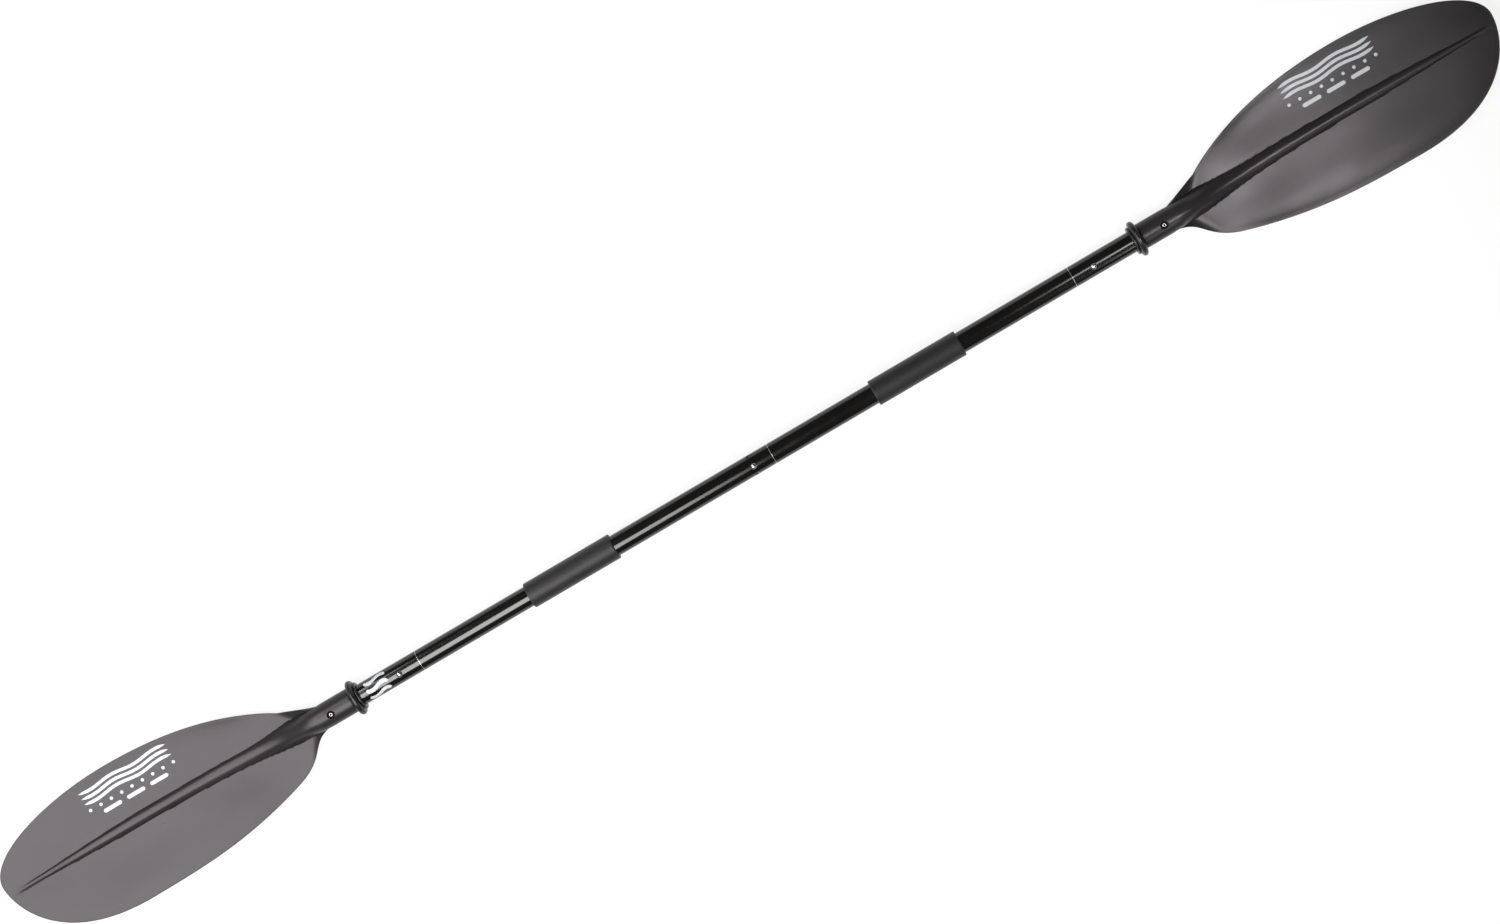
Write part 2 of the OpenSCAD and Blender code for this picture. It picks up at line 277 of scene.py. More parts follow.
def revolve(profile, steps):
    """A profile of (place along the axis, radius) turned about the shaft's axis."""
    rows = []
    for i in range(steps):
        a = 2 * math.pi * i / steps
        rows.append([(x, r * math.sin(a), r * math.cos(a)) for x, r in profile])
    return stitch(rows, closed_rows=True, closed=True)


def upright(profile, x, steps):
    """A profile of (radius, height) turned about an upright axis through x."""
    rows = []
    for i in range(steps):
        a = 2 * math.pi * i / steps
        rows.append([(x + r * math.cos(a), r * math.sin(a), z) for r, z in profile])
    return stitch(rows, closed_rows=True, closed=True)


def arc(cx, cy, r, start, end, steps):
    """Points of an arc, in degrees from the first axis."""
    return [
        (cx + r * math.cos(math.radians(a)), cy + r * math.sin(math.radians(a)))
        for a in np.linspace(start, end, steps)
    ]


def carve(piece, cutter):
    """Cuts a closed mesh out of a piece. The cut walls take the cutter's material."""
    cut = piece.modifiers.new("cut", "BOOLEAN")
    cut.object = cutter
    cut.solver = "EXACT"
    cut.material_mode = "TRANSFER"
    bpy.context.view_layer.update()
    graph = bpy.context.evaluated_depsgraph_get()
    carved = bpy.data.meshes.new_from_object(piece.evaluated_get(graph))
    piece.modifiers.clear()
    old, piece.data = piece.data, carved
    bpy.data.meshes.remove(old)
    bpy.data.objects.remove(cutter)
    smooth(piece)


# ---- materials ----
class Paint:
    """A principled material whose colour, roughness and bump come from its own nodes."""

    def __init__(self, name, **values):
        self.material = bpy.data.materials.new(name)
        self.material.use_nodes = True
        self.tree = self.material.node_tree
        self.shader = self.tree.nodes["Principled BSDF"]
        for socket, value in values.items():
            self.shader.inputs[socket.replace("_", " ")].default_value = value
        self.place = self.add("ShaderNodeTexCoord").outputs["Object"]

    def add(self, kind, **inputs):
        node = self.tree.nodes.new(kind)
        self.join(node, **inputs)
        return node

    def join(self, node, **inputs):
        for socket, value in inputs.items():
            target = node.inputs[int(socket[1:])] if socket[1:].isdigit() else node.inputs[socket]
            if isinstance(value, bpy.types.NodeSocket):
                self.tree.links.new(value, target)
            else:
                target.default_value = value

    def stretched(self, scale):
        """The place in the frame, scaled along each axis."""
        return self.add("ShaderNodeMapping", Vector=self.place, Scale=scale).outputs[0]

    def noise(self, scale, detail=3.0, where=None):
        node = self.add("ShaderNodeTexNoise", Vector=where or self.place, Scale=scale, Detail=detail)
        return node.outputs[0]

    def cells(self, scale, where=None):
        """Distance to the nearest of many scattered points."""
        node = self.add("ShaderNodeTexVoronoi", Vector=where or self.place, Scale=scale)
        return node.outputs["Distance"]

    def fit(self, value, low, high, to_low=0.0, to_high=1.0):
        """The value's range from low to high, eased onto another range."""
        node = self.add("ShaderNodeMapRange", Value=value)
        node.interpolation_type = "SMOOTHSTEP"
        for i, number in enumerate((low, high, to_low, to_high)):
            node.inputs[i + 1].default_value = number
        return node.outputs[0]

    def math(self, operation, a, b=0.0):
        node = self.add("ShaderNodeMath", _0=a, _1=b)
        node.operation = operation
        return node.outputs[0]

    def blend(self, factor, a, b):
        """Colour a where factor is 0, b where it is 1."""
        node = self.add("ShaderNodeMix")
        node.data_type = "RGBA"
        self.join(node, _0=factor, _6=a, _7=b)
        return node.outputs[2]

    def bump(self, height, depth_mm, strength, normal=None):
        node = self.add(
            "ShaderNodeBump", Height=height, Distance=depth_mm * MM, Strength=strength
        )
        if normal:
            self.join(node, Normal=normal)
        return node.outputs[0]

    def finish(self, colour=None, roughness=None, normal=None, metallic=None):
        links = {
            "Base Color": colour,
            "Roughness": roughness,
            "Normal": normal,
            "Metallic": metallic,
        }
        for socket, value in links.items():
            if value is not None:
                self.tree.links.new(value, self.shader.inputs[socket])
        return self.material


BARE_METAL = (0.62, 0.62, 0.63)


def opaque(colour, tone=1):
    """A colour times a tone, with full alpha."""
    return [c * tone for c in colour] + [1]


def grey(value):
    return opaque((value, value, value))


def blade_plastic(name, shine=0.24, rough=0, tone=1):
    """Fibre-filled nylon: satin dark grey with a moulded grain, flow marks and short fibres. A tone
    below 1 makes a darker copy of it, used as painted shade.
    """
    p = Paint(name, IOR=1.5, Specular_IOR_Level=shine, Specular_Tint=(1, 0.93, 0.97, 1))
    flow = p.noise(9, detail=4, where=p.stretched((1, 2.2, 1)))
    grain = p.noise(900, detail=2)
    fibres = p.cells(260, where=p.stretched((1, 3.4, 1)))
    speck = p.fit(fibres, 0.05, 0.22, 1, 0)
    dark, light = opaque((0.014, 0.0125, 0.0135), tone), opaque((0.018, 0.0165, 0.0175), tone)
    colour = p.blend(p.fit(flow, 0.3, 0.7), dark, light)
    colour = p.blend(p.math("MULTIPLY", speck, 0.35), colour, (0.035, 0.033, 0.035, 1))
    texture = p.math("ADD", flow, p.math("MULTIPLY", grain, 0.35))
    roughness = p.fit(texture, 0.35, 0.95, 0.27 + rough, 0.36 + rough)
    normal = p.bump(grain, 0.05, 0.35)
    normal = p.bump(speck, 0.02, 0.3, normal)
    return p.finish(colour, roughness, normal)


def from_axis(p):
    """Distance from the shaft's axis, in metres."""
    _, across, up = p.add("ShaderNodeSeparateXYZ", Vector=p.place).outputs
    height = p.math("SUBTRACT", up, AXIS_Z * MM)
    across_squared = p.math("MULTIPLY", across, across)
    height_squared = p.math("MULTIPLY", height, height)
    return p.math("SQRT", p.math("ADD", across_squared, height_squared))


def near_seams(p):
    """0.8 within half a millimetre of the paddle's three seams, 0 elsewhere."""
    x = p.add("ShaderNodeSeparateXYZ", Vector=p.place).outputs[0]
    outer = p.math("SUBTRACT", p.math("ABSOLUTE", x), OUTER_SEAM * MM)
    centre = p.math("SUBTRACT", x, CENTRE_SEAM * MM)
    off = p.math("MINIMUM", p.math("ABSOLUTE", outer), p.math("ABSOLUTE", centre))
    return p.fit(off, 0.4 * MM, 0.55 * MM, 0.8, 0)


def tube_black():
    """Gloss black tube, bare metal where it was sawn or drilled, and worn along its seams."""
    p = Paint("tube_black", IOR=1.5, Specular_IOR_Level=0.55)
    drawn = p.noise(700, detail=2, where=p.stretched((0.012, 1, 1)))
    dust = p.noise(45, detail=5)
    cut = p.fit(from_axis(p), (TUBE_R - 0.16) * MM, (TUBE_R - 0.05) * MM, 1, 0)
    cut = p.math("MAXIMUM", cut, near_seams(p))
    clean, dusty = (0.0024, 0.0020, 0.0017, 1), (0.0036, 0.003, 0.0026, 1)
    colour = p.blend(p.fit(dust, 0.35, 0.75), clean, dusty)
    colour = p.blend(cut, colour, opaque(BARE_METAL))
    gloss = p.fit(p.math("ADD", drawn, p.math("MULTIPLY", dust, 0.5)), 0.4, 1.1, 0.1, 0.17)
    roughness = p.math("ADD", gloss, p.math("MULTIPLY", cut, 0.2))
    normal = p.bump(drawn, 0.012, 0.12)
    return p.finish(colour, roughness, normal, cut)


def drawn_metal(name, colour, low, high, scale=(0.03, 1, 1)):
    """Bare metal with fine lines along the first stretched axis."""
    p = Paint(name, Metallic=1)
    lines = p.noise(900, detail=3, where=p.stretched(scale))
    stain = p.noise(60, detail=4)
    tone = p.blend(p.fit(stain, 0.3, 0.75), opaque(colour, 0.86), opaque(colour))
    roughness = p.fit(p.math("ADD", lines, p.math("MULTIPLY", stain, 0.4)), 0.4, 1.0, low, high)
    return p.finish(tone, roughness, p.bump(lines, 0.02, 0.25))


def rivet_steel():
    """Dull steel rivet: steel on the crown of its head, with painted shade in black below it, down the
    head's side and in the pin's hole.
    """
    p = Paint("rivet_steel", Metallic=1)
    stain = p.noise(400, detail=3)
    crown = p.fit(from_axis(p), (RIVET_TOP - 0.7) * MM, (RIVET_TOP - 0.15) * MM)
    steel = p.blend(p.fit(stain, 0.3, 0.7), (0.27, 0.27, 0.28, 1), (0.34, 0.34, 0.35, 1))
    # painted shade: black below the crown, on the head's lower side and in the pin's hole
    tone = p.blend(crown, (0.012, 0.012, 0.012, 1), steel)
    return p.finish(tone, p.fit(stain, 0.3, 0.7, 0.16, 0.26), p.bump(stain, 0.02, 0.2))


def foam(name, dark, light, size=520, depth=0.12, rough=(0.42, 0.54)):
    """Closed-cell foam: small pores in a soft skin, darkened with painted shade, and lighter worn
    places.
    """
    p = Paint(
        name, IOR=1.4, Specular_IOR_Level=0.46, Specular_Tint=(1, 0.95, 0.99, 1),
        Sheen_Weight=0.1, Sheen_Roughness=0.5,
    )
    pores = p.cells(size)
    fine = p.noise(1500, detail=2)
    worn = p.noise(38, detail=4)
    tone = p.blend(p.fit(worn, 0.3, 0.72), grey(dark), grey(light))
    # painted shade in the pores, darker towards each pore's middle
    tone = p.blend(p.fit(pores, 0.05, 0.4, 0.55, 0), tone, grey(dark * 0.45))
    roughness = p.fit(fine, 0.3, 0.7, *rough)
    height = p.math("ADD", p.fit(pores, 0.02, 0.45), p.math("MULTIPLY", fine, 0.35))
    return p.finish(tone, roughness, p.bump(height, depth, 0.6))


def ring_rubber():
    """Moulded rubber with a soft shine and a trace of dust."""
    p = Paint("ring_rubber", IOR=1.5, Specular_IOR_Level=0.32)
    bloom = p.noise(120, detail=4)
    fine = p.noise(1400, detail=2)
    tone = p.blend(p.fit(bloom, 0.35, 0.75), grey(0.008), grey(0.014))
    roughness = p.fit(bloom, 0.3, 0.75, 0.2, 0.34)
    return p.finish(tone, roughness, p.bump(fine, 0.02, 0.25))


def print_white():
    """Pad-printed ink, a little thin in places."""
    p = Paint("print_white", IOR=1.5, Specular_IOR_Level=0.3)
    thin = p.noise(420, detail=4)
    tone = p.blend(p.fit(thin, 0.25, 0.5), (0.35, 0.36, 0.38, 1), (0.43, 0.44, 0.46, 1))
    return p.finish(tone, p.fit(thin, 0.3, 0.7, 0.5, 0.62), p.bump(thin, 0.01, 0.2))


BLADE = blade_plastic("blade_plastic")
# painted shade: a darker copy of the blade plastic for the walls and floor of the rivet's recess
BLADE_RECESS_SHADE = blade_plastic("blade_plastic_recess_shade", shine=0.06, rough=0.4, tone=0.35)
TUBE = tube_black()
FERRULE = drawn_metal("ferrule_black", (0.035, 0.034, 0.034), 0.28, 0.42)
BUTTON = drawn_metal("button_steel", BARE_METAL, 0.06, 0.14, (1, 1, 1))
RIVET = rivet_steel()
SPRING = drawn_metal("spring_steel", (0.5, 0.52, 0.56), 0.25, 0.4)
GRIP = foam("grip_foam", 0.0065, 0.0095)
PLUG = foam("foam_plug", 0.06, 0.09, size=380, depth=0.2, rough=(0.8, 0.93))
RUBBER = ring_rubber()
PRINT = print_white()


# ---- blades ----
RIM_STEPS = 5  # points round the edge's quarter turn
HALF_STEPS = 42  # points from the ridge to an edge
TIP_STEPS = 38  # ribs over the bend
SPINE_BEND = 92  # stretch before the tip in which the ribs' middles lag behind
SPINE_REACH = 50  # how far the middles get in that stretch


def stations():
    """Distances of the ribs from the throat, close together at the throat and at the tip."""
    out, x = [0.0], 0.0
    last = BLADE_LENGTH - SPINE_BEND
    while x < last - 1:
        x = min(last, x + 1.5 + 2.7 * float(ramp(x, 60, 170)))
        out.append(x)
    out[-1] = last
    out += [BLADE_LENGTH - SPINE_BEND * (1 - i / TIP_STEPS) ** 2 for i in range(1, TIP_STEPS + 1)]
    return np.array(out)


def rib_rings():
    """Closed rings of points round the blade, in order from the throat to the tip.

    A rib is straight across the blade. Towards the tip its middle lags behind its ends, so
    that it meets the rounded edge squarely.
    """
    x = stations()
    end = Ribs(x)
    s = np.clip((x - (BLADE_LENGTH - SPINE_BEND)) / SPINE_BEND, 0, 1)
    bent_x = BLADE_LENGTH - SPINE_BEND + SPINE_REACH * (1 - (1 - s) ** 2)
    middle_x = np.where(s > 0, bent_x, x)
    middle_y = line_at(RIDGE_MIDDLE, middle_x)
    u = np.linspace(0, 1, HALF_STEPS)
    near_throat, far = np.sin(math.pi / 2 * u), 0.34 * u + 0.66 * u**3
    spacing = mix(near_throat[None], far[None], ramp(x, 0, 80)[:, None])
    rim_turns = [1 - math.sin(math.pi / 2 * i / RIM_STEPS) for i in range(1, RIM_STEPS)]
    halves = {}
    for edge, edge_y in (("top", end.top), ("bottom", end.bottom)):
        edge_y = np.where(x > BLADE_LENGTH - 0.02, TIP_Y, edge_y)
        length = np.hypot(x - middle_x, edge_y - middle_y)
        round_r = skin_at(x, 1.0) / 2
        front, back = [], []
        flat = spacing * (1 - round_r / length)[:, None]
        rim = [1 - round_r / length * turn for turn in rim_turns]
        shares = np.column_stack([flat, *rim, np.ones_like(length)])
        for j in range(shares.shape[1]):
            k = shares[:, j]
            px, py = mix(middle_x, x, k), mix(middle_y, edge_y, k)
            high, low = surface(px, py, k)
            inset = (1 - k) * length
            full = np.clip(inset / round_r, 0, 1)
            round_off = np.sqrt(1 - (1 - full) ** 2)
            centre, half = (high + low) / 2, (high - low) / 2 * round_off
            front.append(np.column_stack([px, py, centre + half]))
            back.append(np.column_stack([px, py, centre - half]))
        halves[edge] = np.stack(front, 1), np.stack(back, 1)
    top_front, top_back = halves["top"]
    bottom_front, bottom_back = halves["bottom"]
    front = [bottom_front[:, ::-1], top_front[:, 1:]]
    back = [top_back[:, -2::-1], bottom_back[:, 1:-1]]
    return np.concatenate(front + back, axis=1)


def skin_at(x, k):
    """Skin thickness at distance x, k of the way from the ridge to the edge."""
    return mix(FIRST_SKIN, mix(SKIN_MIDDLE, SKIN_RIM, k * k), ramp(x, 0, 30))


def surface(x, y, k):
    """Heights of the front and the back over (x, y), k of the way from the ridge to the edge."""
    ribs = Ribs(x)
    dish, skin = ribs.dish(y), skin_at(x, k)
    shape = np.maximum(0, 1 - ((y - ribs.ridge_y) / ribs.width) ** 2) ** ribs.sharp
    front = dish + skin / 2 + np.maximum(0, ribs.ridge - dish) * shape
    drop = np.maximum(0, dish - ribs.back_ridge)
    back = np.minimum(dish - skin / 2, dish - FIRST_SKIN / 2 - drop * shape)
    return front, back


def collar_rings(first):
    """Rings of the collar, from the bottom of its socket round its open end to the throat."""
    spokes = first[:, 1:] / np.linalg.norm(first[:, 1:], axis=1)[:, None]
    bore = TUBE_R + GAP
    edge = 0.9
    mouth, taper = -COLLAR_LENGTH, -9
    profile = [(BLADE_TUBE_END - THROAT_X + 0.3, r) for r in (ON_AXIS, bore * 0.5, bore)]
    profile += [(mouth + 20, bore), (mouth + 0.6, bore), (mouth, bore + 0.6)]
    profile += arc(mouth + edge, COLLAR_R - edge, edge, 180, 90, 6)
    profile += [(x, COLLAR_R) for x in np.linspace(mouth + 2.5, taper, 26)]
    rings = [np.column_stack([np.full(len(spokes), x), spokes * r]) for x, r in profile]
    for x in np.linspace(-7.5, -1.5, 5):
        yz = mix(spokes * COLLAR_R, first[:, 1:], float(ramp(x, taper, 0)))
        rings.append(np.column_stack([np.full(len(spokes), x), yz]))
    return rings


def blade(name, side):
    """Moulded blade and its collar in one skin, with the rivet's recess cut in."""
    ribs = rib_rings()
    rings = collar_rings(ribs[0]) + list(ribs)
    points, faces = stitch(rings, closed=True)
    points = np.array(points)
    points[:, 0] += THROAT_X
    body = f"{name}_blade"
    piece = new_piece(f"{name}_blade_shell", points, faces, side, body, BLADE)
    carve(piece, recess_cutter(side))
    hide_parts(f"{name}_blade")


def recess_cutter(side):
    """A round pocket with a softened rim, over the rivet. Its walls and floor get painted shade: the
    darker copy of the blade plastic.
    """
    corner = 0.4
    above = COLLAR_R + 3
    profile = [(ON_AXIS, RECESS_FLOOR), (RECESS_R - 0.5, RECESS_FLOOR)]
    profile += arc(RECESS_R - corner, RECESS_FLOOR + corner, corner, -90, 0, 4)
    profile += [(RECESS_R, COLLAR_R - 0.35), (RECESS_R + 0.5, COLLAR_R + 0.05)]
    profile += [(RECESS_R + 1, above), (ON_AXIS, above)]
    points, faces = upright(profile, RIVET_X, 72)
    return new_piece("recess_cutter", points, faces, side, None, BLADE_RECESS_SHADE)


# ---- small parts ----
def drip_ring(name, side):
    """Soft ring: a fat round flange against the blade, a groove, and a lip on the shaft side."""
    inner = TUBE_R + 0.05
    rim_r = 4.1
    rim_x, rim_y = RING_X1 - 1 - rim_r, RING_R - rim_r
    lip_r = 1.9
    lip_x, lip_y = RING_X0 + lip_r, 19 - lip_r
    profile = [(RING_X1 - 0.4, inner), (RING_X1, inner + 0.4)]
    profile += [(RING_X1, 18), (RING_X1 - 0.4, 18.9)]
    profile += arc(rim_x, rim_y, rim_r, 14, 205, 26)
    profile += arc(lip_x + 2.4, lip_y + 0.2, 0.8, 10, -110, 7)
    profile += arc(lip_x, lip_y, lip_r, 40, 175, 12)
    profile += [(RING_X0, inner + 0.9), (RING_X0 + 0.5, inner)]
    points, faces = revolve(profile, 160)
    body = f"{name}_ring"
    piece = new_piece(f"{name}_ring_soft", points, faces, side, body, RUBBER, 60)
    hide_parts(f"{name}_drip_ring")


def grip(name, side):
    """Foam sleeve with rounded ends."""
    inner = TUBE_R + GAP
    edge = 1.3
    profile = [(GRIP_X0, inner), (GRIP_X0, GRIP_R - edge)]
    profile += arc(GRIP_X0 + edge, GRIP_R - edge, edge, 180, 90, 7)[1:]
    profile += [(x, GRIP_R) for x in np.linspace(GRIP_X0 + edge + 1, GRIP_X1 - edge - 1, 60)]
    profile += arc(GRIP_X1 - edge, GRIP_R - edge, edge, 90, 0, 7)
    profile += [(GRIP_X1, inner)]
    points, faces = revolve(profile, 120)
    body = f"{name}_shaft"
    piece = new_piece(f"{name}_grip_sleeve", points, faces, side, body, GRIP)
    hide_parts(f"{name}_grip")


def rivet(name, side):
    """Blind rivet: a domed head round the hole its pin broke off in."""
    head_r, hole_r, shank_r, seat = 2.9, 1.3, 1.95, RECESS_FLOOR + GAP
    hole_floor = RIVET_TOP - 1.3
    profile = [(ON_AXIS, hole_floor), (hole_r - 0.15, hole_floor), (hole_r, hole_floor + 0.15)]
    profile += [(hole_r, RIVET_TOP - 0.2), (hole_r + 0.25, RIVET_TOP)]
    for i in range(10):
        k = i / 9
        profile.append((mix(hole_r + 0.5, head_r - 0.15, k), RIVET_TOP - 0.75 * k**2.2))
    profile += [(head_r, RECESS_FLOOR + 0.3), (head_r - 0.05, seat), (shank_r, seat)]
    profile += [(shank_r, BORE_R), (2.8, BORE_R - 0.6), (2.9, BORE_R - 2), (1.6, BORE_R - 3.4)]
    profile += [(ON_AXIS, BORE_R - 3.5)]
    points, faces = upright(profile, RIVET_X, 64)
    body = f"{name}_blade"
    piece = new_piece(f"{name}_rivet_turned", points, faces, side, body, RIVET, 40)
    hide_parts(f"{name}_blade_rivet")


def snap_button(name, x, body, side=RIGHT):
    """Pressed steel button: a domed cap on a straight side, with a flange under the ferrule."""
    low = extent(f"{name}_snap_button", 2)[0] - AXIS_Z
    r, flange_r, flange, dome_r = 3.7, 4.4, 0.9, 4.7
    bevel = 0.1
    dome_start = math.degrees(math.acos((r - 0.5) / dome_r))
    side_top = BUTTON_TOP - dome_r + dome_r * math.sin(math.radians(dome_start)) - 0.6
    profile = [(ON_AXIS, low), (flange_r - bevel, low), (flange_r, low + bevel)]
    profile += [(flange_r, low + flange - bevel), (flange_r - bevel, low + flange)]
    profile += [(r + bevel, low + flange), (r, low + flange + 0.15)]
    profile += [(r, side_top - 2), (r, side_top), (r - 0.15, side_top + 0.35)]
    profile += arc(0, BUTTON_TOP - dome_r, dome_r, dome_start, 89.9, 12)
    points, faces = upright(profile, x, 72)
    piece = new_piece(f"{name}_button_domed", points, faces, side, body, BUTTON, 40)
    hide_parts(f"{name}_snap_button")


# ---- plain printed marks: waves, dots and dashes ----
def ribbon(centre, width, length, start, wave, cycles, steps=96):
    """A wavy band with tapered ends, as (left edge, right edge) lines of (x, y)."""
    low, high = [], []
    for i in range(steps + 1):
        t = i / steps
        taper = math.sin(math.pi * min(1, max(0.0, min(t, 1 - t) / 0.08)) / 2)
        half = max(0.05, width / 2 * taper)
        y = centre + wave * math.sin(2 * math.pi * cycles * t)
        low.append((start + length * t, y - half))
        high.append((start + length * t, y + half))
    return low, high


def patch(lows, highs, rows, shape):
    """A thin closed sheet between two lines. shape turns (x, y) and a lift into a point."""
    n = len(lows)
    points = []
    for lift in (1, 0):
        for j in range(rows + 1):
            k = j / rows
            for a, b in zip(lows, highs):
                points.append(shape(mix(a[0], b[0], k), mix(a[1], b[1], k), lift))
    faces, half = [], (rows + 1) * n
    for j in range(rows):
        for i in range(n - 1):
            a, b = j * n + i, (j + 1) * n + i
            faces += [(a, a + 1, b + 1, b), (half + a, half + b, half + b + 1, half + a + 1)]
    rim = list(range(n)) + [j * n + n - 1 for j in range(1, rows + 1)]
    rim += [rows * n + i for i in range(n - 2, -1, -1)] + [j * n for j in range(rows - 1, 0, -1)]
    for a, b in zip(rim, rim[1:] + rim[:1]):
        faces.append((a, half + a, half + b, b))
    return points, faces


def join_meshes(parts):
    """Several (points, faces) pairs as one."""
    points, faces = [], []
    for p, f in parts:
        faces += [tuple(i + len(points) for i in face) for face in f]
        points += list(p)
    return points, faces


def disc_lines(x, y, r, steps=20):
    """Lower and upper half of a round dot, as two lines."""
    turns = [math.pi * i / steps for i in range(steps + 1)]
    low = [(x - r * math.cos(a), y - r * math.sin(a)) for a in turns]
    high = [(x - r * math.cos(a), y + r * math.sin(a)) for a in turns]
    return low, high


BLADE_MARK_X0, BLADE_MARK_X1 = 824, 955
WAVES_Y = (71.2, 63.6, 56)
DOTS_Y, DOT_R, DOTS = 45.8, 2.2, 9
DASHES_Y, DASH_LENGTH, DASH_STEP, DASHES = 35.6, 27, 35, 3
INK_DEPTH, INK_THICKNESS = 0.12, 0.2


def blade_print(name, side):
    """Three bold waves, a row of dots and a row of dashes, from the top edge to the ridge."""
    start, length = BLADE_MARK_X0, BLADE_MARK_X1 - BLADE_MARK_X0
    lines = [ribbon(y, 4.2, length, start, 1.6, 2) for y in WAVES_Y]
    for i in range(DOTS):
        lines.append(disc_lines(start + 3 + (length - 6) * i / (DOTS - 1), DOTS_Y, DOT_R))
    for i in range(DASHES):
        lines.append(ribbon(DASHES_Y, 5.2, DASH_LENGTH, start + 17 + DASH_STEP * i, 0, 1, 32))
    parts = [patch(low, high, 4, lambda x, y, lift: (x, y, lift)) for low, high in lines]
    points, faces = join_meshes(parts)
    x, y, lift = np.array(points).T
    ribs = Ribs(x - THROAT_X)
    to_edge = np.where(y > 0, ribs.top - ribs.ridge_y, ribs.ridge_y - ribs.bottom)
    share = np.abs(y - ribs.ridge_y) / np.maximum(1e-6, to_edge)
    front = surface(x - THROAT_X, y, share)[0]
    points = np.column_stack([x, y, front - INK_DEPTH + INK_THICKNESS * lift])
    body = f"{name}_blade"
    new_piece(f"{name}_blade_print", points, faces, side, body, PRINT)


SHAFT_MARK_X0, SHAFT_MARK_LENGTH = 527, 32.5
SHAFT_WAVES_Y = (12.4, 1.6, -9.2)


def round_tube(x, y, lift):
    """A point of a flat sheet wrapped round the tube, a little proud of it or sunk in it."""
    r = TUBE_R + 0.02 if lift else TUBE_R - 0.15
    return x, r * math.sin(y / TUBE_R), r * math.cos(y / TUBE_R)


def shaft_print():
    """Three short waves wrapped over the left blade's tube, under the drip ring's travel."""
    parts = []
    for y in SHAFT_WAVES_Y:
        low, high = ribbon(y, 5.4, SHAFT_MARK_LENGTH, SHAFT_MARK_X0, 2.2, 1, 64)
        parts.append(patch(low, high, 8, round_tube))
    points, faces = join_meshes(parts)
    new_piece("left_shaft_print", points, faces, LEFT, "left_blade", PRINT)


# ---- the paddle ----
for name, side in SIDES.items():
    blade(name, side)
    blade_print(name, side)
    rivet(name, side)
    drip_ring(name, side)
    grip(name, side)
    snap_button(name, OUTER_BUTTON_X, f"{name}_button", side)
snap_button("centre", CENTRE_BUTTON_X, "centre_button")
shaft_print()

CAD_LOOKS = {
    "_tube": TUBE,
    "_ferrule": FERRULE,
    "_spring": SPRING,
    "_plug": PLUG,
}
for node, piece in frame["nodes"].items():
    for ending, look in CAD_LOOKS.items():
        if node.endswith(ending):
            piece.data.materials.clear()
            piece.data.materials.append(look)


# ---- floor, light and camera ----
FLOOR_HALF = 9
FLOOR_Z = -0.0005
FLOOR_GLOW = 0.85
PANEL_HEIGHT = 2
ROOM_LIGHT, BACKDROP = 0.1, 0.9
LENS, SENSOR = 74.41, 36
CAMERA_AT = (0.21517, 0.58069, 3.89333)  # from the shaft's axis
CAMERA_AIM = (0.01187, 0.00475, 0)
CAMERA_ROLL = -30.877
WHITE = (1, 1, 1, 1)


def floor():
    """A pale floor that glows a little below white, so that any light makes it read as white."""
    p = Paint("floor_white", Specular_IOR_Level=0.1)
    mottle = p.noise(3, detail=3)
    tone = p.blend(mottle, grey(0.115), grey(0.13))
    p.shader.inputs["Emission Color"].default_value = WHITE
    p.shader.inputs["Emission Strength"].default_value = FLOOR_GLOW
    p.finish(tone, p.fit(mottle, 0, 1, 0.8, 0.9))
    mesh = bpy.data.meshes.new("floor")
    corners = [(-1, -1), (1, -1), (1, 1), (-1, 1)]
    mesh.from_pydata([(x * FLOOR_HALF, y * FLOOR_HALF, FLOOR_Z) for x, y in corners], [], [(0, 1, 2, 3)])
    piece = bpy.data.objects.new("floor", mesh)
    mesh.materials.append(p.material)
    bpy.context.scene.collection.objects.link(piece)


def soft_box(name, x, y, radiance, lean=(0, 0), spread=180):
    """A panel light overhead, over a stretch of x and of y in metres. It leans towards -X and
    +Y by degrees, and a grid may narrow its beam."""
    light = bpy.data.lights.new(name, "AREA")
    light.shape = "RECTANGLE"
    light.size, light.size_y = x[1] - x[0], y[1] - y[0]
    light.energy = radiance * math.pi * light.size * light.size_y
    if spread < 180:
        half = math.radians(spread / 2)
        light.spread = 2 * half
        light.energy *= 1 - half / math.tan(half)
    lamp = bpy.data.objects.new(name, light)
    lamp.location = sum(x) / 2, sum(y) / 2, PANEL_HEIGHT
    lamp.rotation_euler = math.radians(lean[1]), math.radians(lean[0]), 0
    bpy.context.scene.collection.objects.link(lamp)


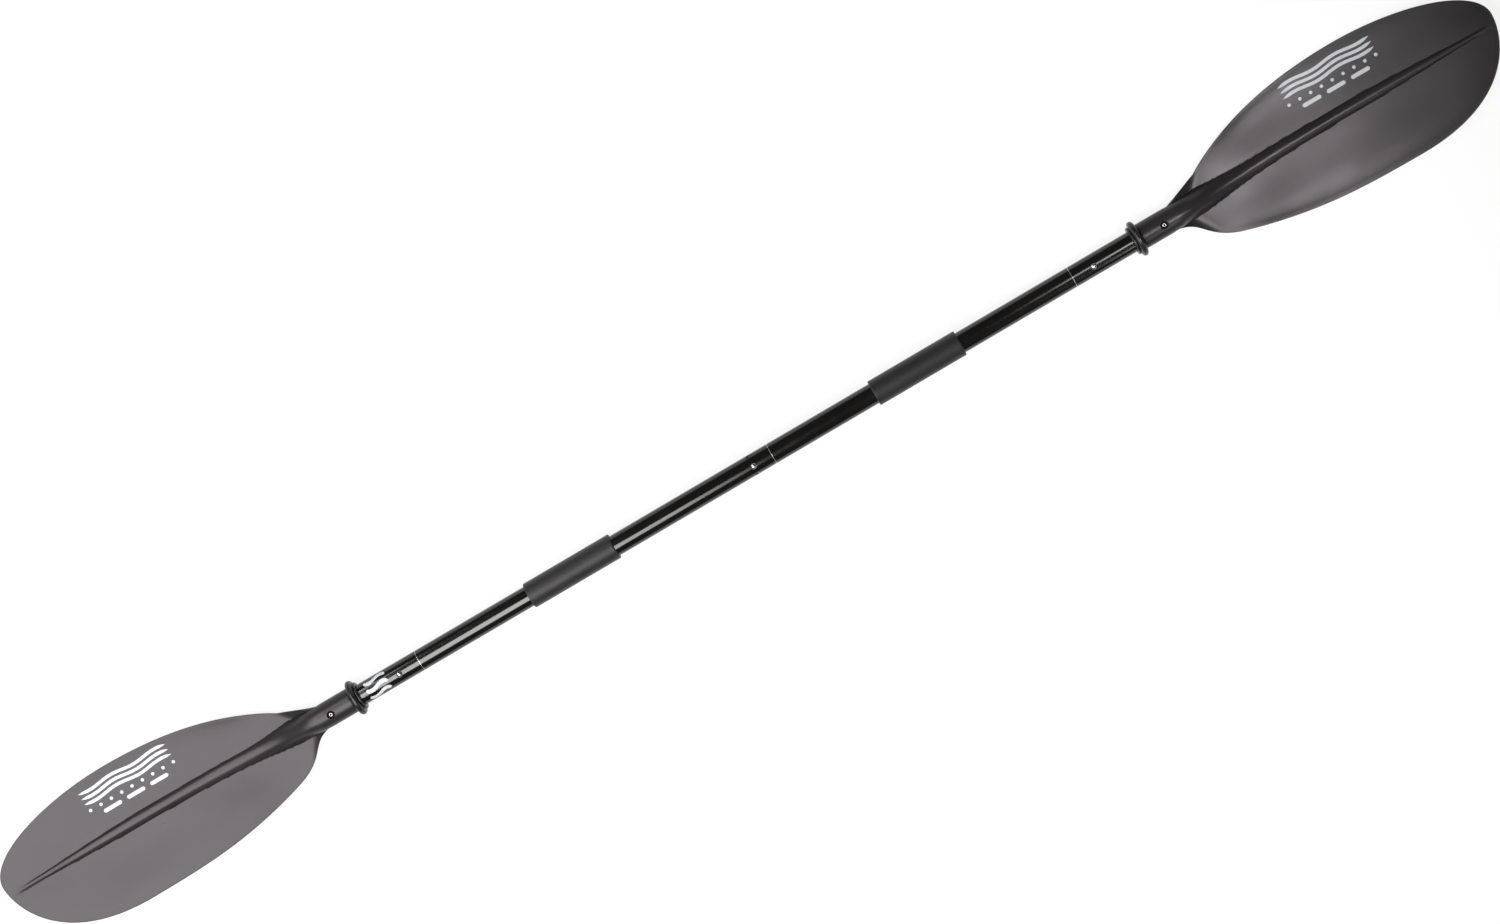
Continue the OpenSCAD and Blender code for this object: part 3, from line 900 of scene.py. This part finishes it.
def world():
    """A dim room, seen as pale where nothing stands in front of it."""
    room = bpy.data.worlds.new("room")
    room.use_nodes = True
    tree = room.node_tree
    shown = tree.nodes.new("ShaderNodeLightPath").outputs["Is Camera Ray"]
    level = tree.nodes.new("ShaderNodeMapRange")
    tree.links.new(shown, level.inputs[0])
    level.inputs["To Min"].default_value = ROOM_LIGHT
    level.inputs["To Max"].default_value = BACKDROP
    background = tree.nodes["Background"]
    tree.links.new(level.outputs[0], background.inputs["Strength"])
    background.inputs["Color"].default_value = WHITE
    bpy.context.scene.world = room


def camera():
    """The long view from above, turned so that the paddle runs corner to corner."""
    data = bpy.data.cameras.new("camera")
    data.lens = LENS
    data.sensor_width = SENSOR
    axis = Vector((0, 0, AXIS_Z * MM))
    at = Vector(CAMERA_AT) + axis
    aim = Vector(CAMERA_AIM) + axis
    roll = math.radians(CAMERA_ROLL)
    forward = (aim - at).normalized()
    right = forward.cross(Vector((0, 1, 0))).normalized()
    up = right.cross(forward)
    across = right * math.cos(roll) + up * math.sin(roll)
    upward = up * math.cos(roll) - right * math.sin(roll)
    piece = bpy.data.objects.new("camera", data)
    piece.matrix_world = Matrix(
        [(across[i], upward[i], -forward[i], at[i]) for i in range(3)] + [(0, 0, 0, 1)]
    )
    bpy.context.scene.collection.objects.link(piece)
    bpy.context.scene.camera = piece


floor()
soft_box("left_panel", (-1.1, -0.42), (-1.22, 0.4), 10)
soft_box("left_inner_panel", (-0.42, -0.22), (-1.04, 0.16), 8)
soft_box("left_end_panel", (-0.22, -0.12), (-0.94, 0.04), 4)
soft_box("far_left_panel", (-2.1, -1.1), (-1.0, 2.6), 10)
soft_box("right_panel", (0.6, 0.85), (-0.25, 0.6), 11, lean=(6, 0), spread=24)
soft_box("right_shoulder_panel", (0.85, 1.1), (-1.3, 0.6), 30, lean=(10, 8.5), spread=20)
soft_box("far_right_panel", (1.0, 1.5), (-1.3, 0.6), 40, lean=(15, 8.5), spread=20)
soft_box("low_right_panel", (0.85, 1.3), (-3.0, -1.3), 6)
world()
camera()
bpy.context.scene.view_settings.view_transform = "Standard"
